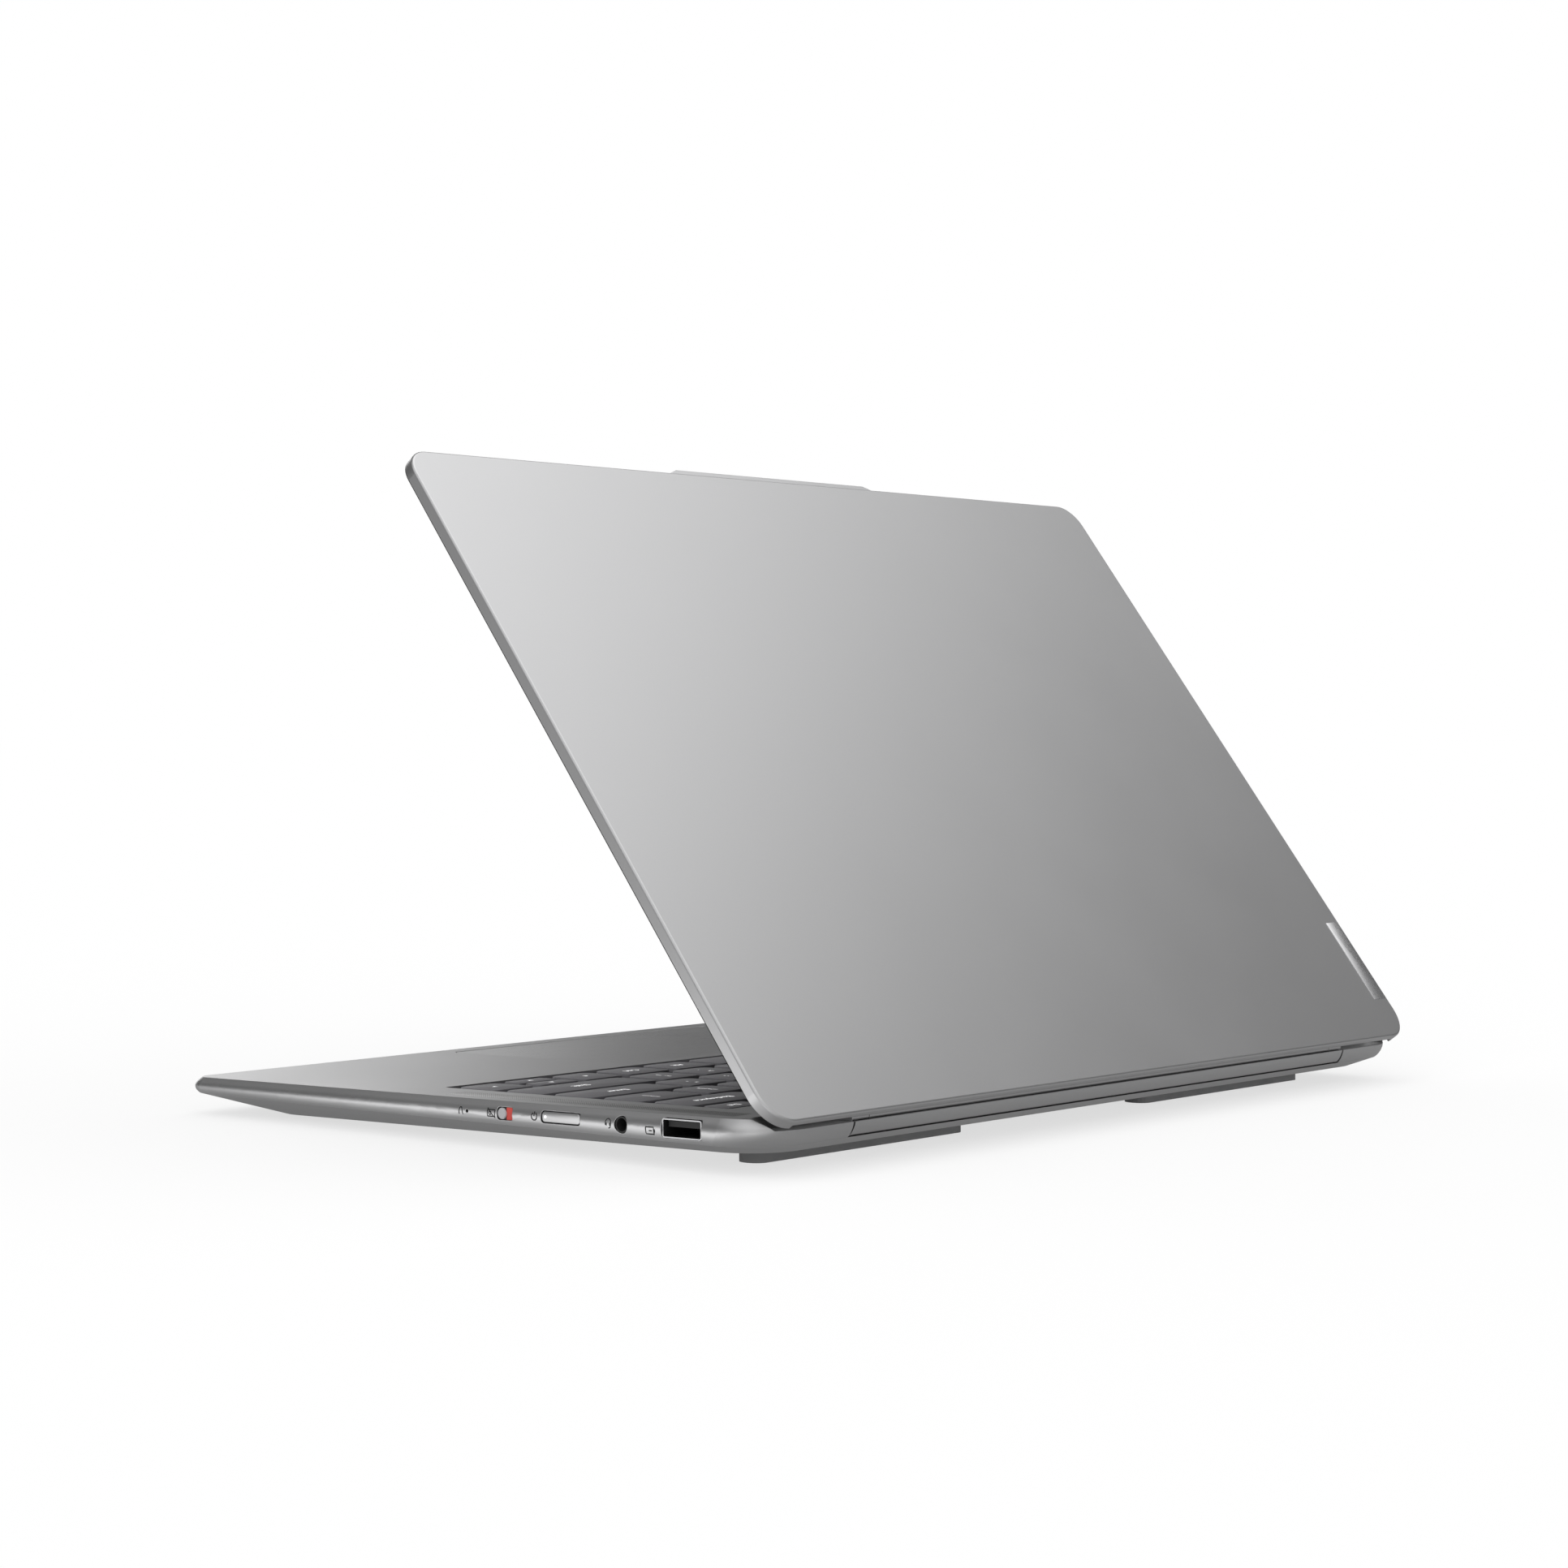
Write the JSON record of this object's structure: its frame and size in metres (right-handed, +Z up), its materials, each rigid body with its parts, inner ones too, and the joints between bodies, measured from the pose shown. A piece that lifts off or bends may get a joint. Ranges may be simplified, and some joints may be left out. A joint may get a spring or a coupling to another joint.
{
  "type": "laptop computer",
  "caption": "Slim aluminium clamshell laptop computer, lid half open on its hinge, with pressing keys, trackpad, side sockets, camera shutter slider and rubber feet.",
  "frame": {"origin": "middle of the overall footprint, on the table under the feet", "axes": "+X to the user's right along the hinge, +Y to the rear, away from the user, +Z up"},
  "size_m": [0.3256, 0.2274, 0.1938],
  "materials": {
    "anodised_aluminium": "bead-blasted satin anodising, pale grey",
    "key_plastic": null,
    "pad_surface": "etched satin surface, close to the deck's grey",
    "foot_rubber": "matt dark rubber",
    "black_plastic": "fine matt black",
    "slider_plastic": "grey knob",
    "screen_glass": "dark smooth panel, switched off",
    "plated_steel": "bright plated sheet",
    "hinge_black": "satin black coat",
    "circuit_board": "green lacquered board",
    "copper": "bare copper",
    "bare_fins": "bare thin fins",
    "battery_wrap": "dark film wrap"
  },
  "bodies": {
    "base": {"keyboard_deck": "anodised_aluminium", "hinge_cover_strip": "anodised_aluminium", "bottom_cover": "anodised_aluminium", "speaker_grille_left": "anodised_aluminium", "speaker_grille_right": "anodised_aluminium", "rear_foot_left": "foot_rubber", "rear_foot_right": "foot_rubber", "front_foot": "foot_rubber", "keyboard_plate": "black_plastic", "fan_housing_left": "black_plastic", "fan_housing_right": "black_plastic", "speaker_left": "black_plastic", "speaker_right": "black_plastic", "audio_jack": "black_plastic", "power_switch": "black_plastic", "shutter_switch": "black_plastic", "bottom_screws": "plated_steel", "trackpad_bracket": "plated_steel", "usb_a_port": "plated_steel", "usb_c_ports": "plated_steel", "hdmi_port": "plated_steel", "hinge_bracket_left": "plated_steel", "hinge_bracket_right": "plated_steel", "motherboard": "circuit_board", "io_board_left": "circuit_board", "io_board_right": "circuit_board", "ssd_module": "circuit_board", "wireless_card": "circuit_board", "heat_spreader": "copper", "heat_pipe": "copper", "heatsink_fins_left": "bare_fins", "heatsink_fins_right": "bare_fins", "battery_pack": "battery_wrap"},
    "lid": {"lid_cover": "anodised_aluminium", "display_panel": "screen_glass", "screen_bezel": "black_plastic", "screen_gasket": "foot_rubber", "camera_module": "black_plastic", "camera_lens": "screen_glass", "hinge_tube": "hinge_black", "hinge_arm_left": "plated_steel", "hinge_arm_right": "plated_steel"},
    "trackpad": {"trackpad": "pad_surface"},
    "power_button": {"power_button": "anodised_aluminium"},
    "shutter_slider": {"shutter_slider": "slider_plastic"},
    "fan_rotor_left": {"fan_rotor_left": "black_plastic"},
    "fan_rotor_right": {"fan_rotor_right": "black_plastic"},
    "function_keys": {"function_keys": "key_plastic"},
    "number_keys": {"number_keys": "key_plastic"},
    "backspace_key": {"backspace_key": "key_plastic"},
    "upper_row_keys": {"upper_row_keys": "key_plastic"},
    "home_row_keys": {"home_row_keys": "key_plastic"},
    "enter_key": {"enter_key": "key_plastic"},
    "left_shift_key": {"left_shift_key": "key_plastic"},
    "lower_row_keys": {"lower_row_keys": "key_plastic"},
    "right_shift_key": {"right_shift_key": "key_plastic"},
    "bottom_row_keys": {"bottom_row_keys": "key_plastic"},
    "space_bar": {"space_bar": "key_plastic"},
    "arrow_keys": {"arrow_keys": "key_plastic"}
  },
  "joints": [
    {"name": "lid_hinge", "type": "hinge", "parent": "base", "child": "lid", "pos_m": [0, 0.10765, 0.0129], "axis": [-1, 0, 0], "range_deg": [-54, 71]},
    {"name": "trackpad_press", "type": "slide", "parent": "base", "child": "trackpad", "axis": [0, 0.019, -0.9998], "range_m": [0, 0.00035], "stiffness_N_per_m": 2000, "springref_m": -0.0006},
    {"name": "power_press", "type": "slide", "parent": "base", "child": "power_button", "axis": [-1, 0, 0], "range_m": [0, 0.0005], "stiffness_N_per_m": 600, "springref_m": -0.0005},
    {"name": "shutter_slide", "type": "slide", "parent": "base", "child": "shutter_slider", "axis": [0, 0.9998, 0.019], "range_m": [0, 0.0023]},
    {"name": "fan_left_spin", "type": "hinge", "parent": "base", "child": "fan_rotor_left", "pos_m": [-0.09, 0.05664, 0.00743], "axis": [0, -0.019, 0.9998], "continuous": true},
    {"name": "fan_right_spin", "type": "hinge", "parent": "base", "child": "fan_rotor_right", "pos_m": [0.09, 0.05664, 0.00743], "axis": [0, -0.019, 0.9998], "continuous": true},
    {"name": "function_keys_press", "type": "slide", "parent": "base", "child": "function_keys", "axis": [0, 0.019, -0.9998], "range_m": [0, 0.0013], "stiffness_N_per_m": 450, "springref_m": -0.0007},
    {"name": "number_keys_press", "type": "slide", "parent": "base", "child": "number_keys", "axis": [0, 0.019, -0.9998], "range_m": [0, 0.0013], "stiffness_N_per_m": 450, "springref_m": -0.0007},
    {"name": "backspace_key_press", "type": "slide", "parent": "base", "child": "backspace_key", "axis": [0, 0.019, -0.9998], "range_m": [0, 0.0013], "stiffness_N_per_m": 450, "springref_m": -0.0007},
    {"name": "upper_row_keys_press", "type": "slide", "parent": "base", "child": "upper_row_keys", "axis": [0, 0.019, -0.9998], "range_m": [0, 0.0013], "stiffness_N_per_m": 450, "springref_m": -0.0007},
    {"name": "home_row_keys_press", "type": "slide", "parent": "base", "child": "home_row_keys", "axis": [0, 0.019, -0.9998], "range_m": [0, 0.0013], "stiffness_N_per_m": 450, "springref_m": -0.0007},
    {"name": "enter_key_press", "type": "slide", "parent": "base", "child": "enter_key", "axis": [0, 0.019, -0.9998], "range_m": [0, 0.0013], "stiffness_N_per_m": 450, "springref_m": -0.0007},
    {"name": "left_shift_key_press", "type": "slide", "parent": "base", "child": "left_shift_key", "axis": [0, 0.019, -0.9998], "range_m": [0, 0.0013], "stiffness_N_per_m": 450, "springref_m": -0.0007},
    {"name": "lower_row_keys_press", "type": "slide", "parent": "base", "child": "lower_row_keys", "axis": [0, 0.019, -0.9998], "range_m": [0, 0.0013], "stiffness_N_per_m": 450, "springref_m": -0.0007},
    {"name": "right_shift_key_press", "type": "slide", "parent": "base", "child": "right_shift_key", "axis": [0, 0.019, -0.9998], "range_m": [0, 0.0013], "stiffness_N_per_m": 450, "springref_m": -0.0007},
    {"name": "bottom_row_keys_press", "type": "slide", "parent": "base", "child": "bottom_row_keys", "axis": [0, 0.019, -0.9998], "range_m": [0, 0.0013], "stiffness_N_per_m": 450, "springref_m": -0.0007},
    {"name": "space_bar_press", "type": "slide", "parent": "base", "child": "space_bar", "axis": [0, 0.019, -0.9998], "range_m": [0, 0.0013], "stiffness_N_per_m": 450, "springref_m": -0.0007},
    {"name": "arrow_keys_press", "type": "slide", "parent": "base", "child": "arrow_keys", "axis": [0, 0.019, -0.9998], "range_m": [0, 0.0013], "stiffness_N_per_m": 450, "springref_m": -0.0007}
  ]
}
